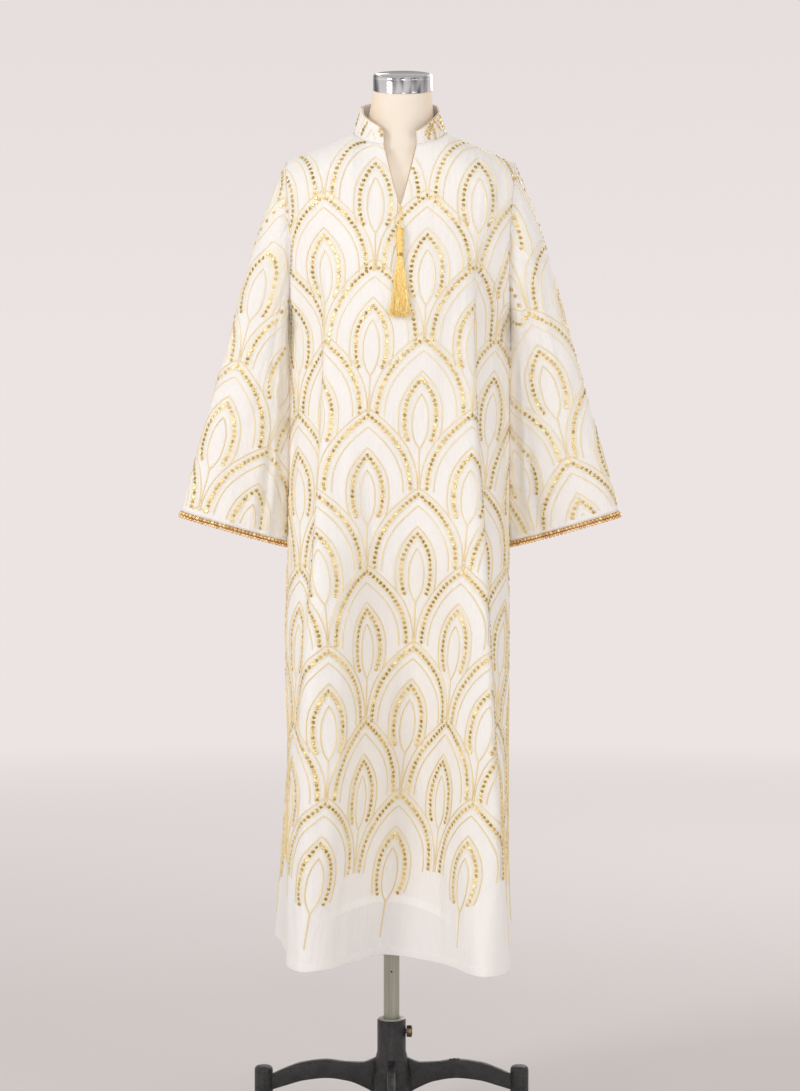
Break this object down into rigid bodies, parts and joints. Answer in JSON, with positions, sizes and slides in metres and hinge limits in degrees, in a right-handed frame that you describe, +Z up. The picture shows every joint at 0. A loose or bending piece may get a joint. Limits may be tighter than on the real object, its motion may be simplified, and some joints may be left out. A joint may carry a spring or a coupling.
{
  "type": "abaya on a dress form",
  "caption": "White embroidered abaya with wide sleeves, stand-up collar and neck tassel, worn by a limbless dress form on a cast iron stand.",
  "frame": {"origin": "centre of the footprint's bounding box, on the floor under the stand's feet", "axes": "+Z up, the garment's front faces -Y, its right-hand side in the picture is +X"},
  "size_m": [0.7492, 0.477, 1.8258],
  "materials": {
    "cloth": "plain woven white cotton, soft matte",
    "beads": "small copper-gold glass beads",
    "silk": "golden yellow silky thread",
    "gilt": "gilt thread wound flat",
    "cover": "cream jersey stretched smooth",
    "chrome": "polished",
    "steel": "grey-green satin paint",
    "iron": "black painted casting, semi-matte",
    "brass": "brassy plated screw",
    "rubber": "black, dull"
  },
  "bodies": {
    "stand": {"stand_base": "iron", "foot_right": "rubber", "foot_back": "rubber", "foot_left": "rubber", "foot_front": "rubber"},
    "bushing": {"pole_bushing": "steel"},
    "column": {"pole": "steel", "torso_form": "cover", "neck_cap": "chrome", "front_panel": "cloth", "back_panel": "cloth", "sleeve_left": "cloth", "sleeve_right": "cloth", "cuff_trim_left": "beads", "cuff_trim_right": "beads", "collar": "cloth", "tassel_cord": "silk", "tassel": "silk", "tassel_band": "gilt"},
    "clamp_screw": {"clamp_screw": "brass"}
  },
  "joints": [
    {"name": "swivel", "type": "hinge", "parent": "stand", "child": "bushing", "pos_m": [-0.0145, 0, 0.18], "axis": [0, 0, 1], "continuous": true},
    {"name": "height_slide", "type": "slide", "parent": "bushing", "child": "column", "axis": [0, 0, 1], "range_m": [-0.1, 0.04]},
    {"name": "clamp_turn", "type": "hinge", "parent": "stand", "child": "clamp_screw", "pos_m": [-0.0145, 0, 0.1855], "axis": [1, 0, 0], "continuous": true}
  ]
}
